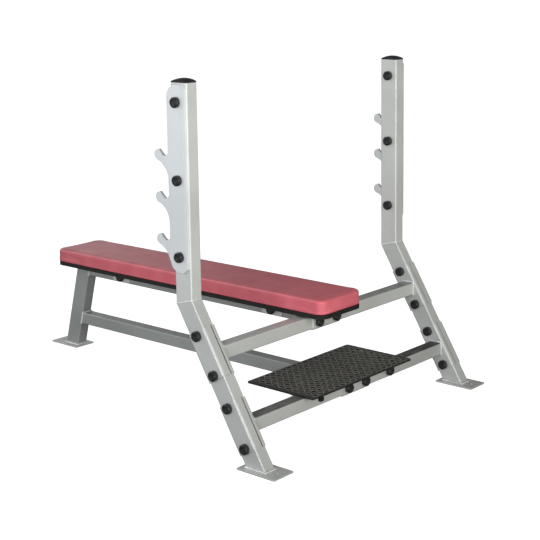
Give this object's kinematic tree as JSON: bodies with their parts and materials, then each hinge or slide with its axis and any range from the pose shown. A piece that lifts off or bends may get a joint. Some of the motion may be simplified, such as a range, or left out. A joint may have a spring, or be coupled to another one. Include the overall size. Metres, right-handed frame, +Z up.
{
  "type": "olympic bench press",
  "caption": "Flat bench with a long padded seat, two uprights that carry a bar at stepped hook heights, and a platform for a spotter at the head end.",
  "frame": {"origin": "on the floor, under the middle of the footprint, which is also the middle of the width", "axes": "+X across the bench (to the right for a spotter at the head end who faces the foot end), +Y along the bench towards the foot end, +Z up"},
  "size_m": [1.276, 1.812, 1.28],
  "materials": {
    "frame_paint": "silver metallic powder coat, semi-gloss",
    "pad_vinyl": "red vinyl upholstery, satin",
    "pad_board": "black covered board, matt",
    "tread": "black ring mat, matt",
    "black_steel": "black coating, satin",
    "black_plastic": "moulded black plastic, satin",
    "zinc_hardware": "zinc-plated"
  },
  "bodies": {
    "root": {"left_upright": "frame_paint", "right_upright": "frame_paint", "left_leg": "frame_paint", "right_leg": "frame_paint", "left_foot_plate": "frame_paint", "right_foot_plate": "frame_paint", "left_upright_cap": "black_plastic", "right_upright_cap": "black_plastic", "left_bar_rack": "frame_paint", "right_bar_rack": "frame_paint", "upper_crossmember": "frame_paint", "lower_crossmember": "frame_paint", "left_upper_outer_saddle": "frame_paint", "right_upper_outer_saddle": "frame_paint", "left_lower_outer_saddle": "frame_paint", "right_lower_outer_saddle": "frame_paint", "left_upper_inner_saddle": "frame_paint", "right_upper_inner_saddle": "frame_paint", "left_lower_inner_saddle": "frame_paint", "right_lower_inner_saddle": "frame_paint", "top_rail": "frame_paint", "bottom_rail": "frame_paint", "rear_leg": "frame_paint", "rear_foot_plate": "frame_paint", "top_rail_saddle": "frame_paint", "top_rail_clamp": "frame_paint", "bottom_rail_saddle": "frame_paint", "bottom_rail_clamp": "frame_paint", "front_pad_bracket": "frame_paint", "rear_pad_bracket": "frame_paint", "pad_board": "pad_board", "pad_cushion": "pad_vinyl", "pad_screws": "zinc_hardware", "pad_inserts": "zinc_hardware", "platform_plate": "black_steel", "platform_tread": "tread", "left_platform_bracket": "frame_paint", "right_platform_bracket": "frame_paint", "platform_screws": "zinc_hardware", "rack_bolts": "zinc_hardware", "rack_washers": "zinc_hardware", "rack_nuts": "zinc_hardware", "rack_bolt_caps": "black_plastic", "leg_bolts": "zinc_hardware", "leg_washers": "zinc_hardware", "leg_nuts": "zinc_hardware", "leg_bolt_caps": "black_plastic", "rail_bolts": "zinc_hardware", "rail_washers": "zinc_hardware", "rail_nuts": "zinc_hardware", "rail_bolt_caps": "black_plastic", "pad_bracket_bolts": "zinc_hardware", "pad_bracket_washers": "zinc_hardware", "pad_bracket_nuts": "zinc_hardware", "pad_bracket_bolt_caps": "black_plastic", "platform_bolts": "black_steel", "platform_washers": "black_steel", "platform_nuts": "black_steel", "platform_bolt_caps": "black_plastic"}
  },
  "joints": []
}
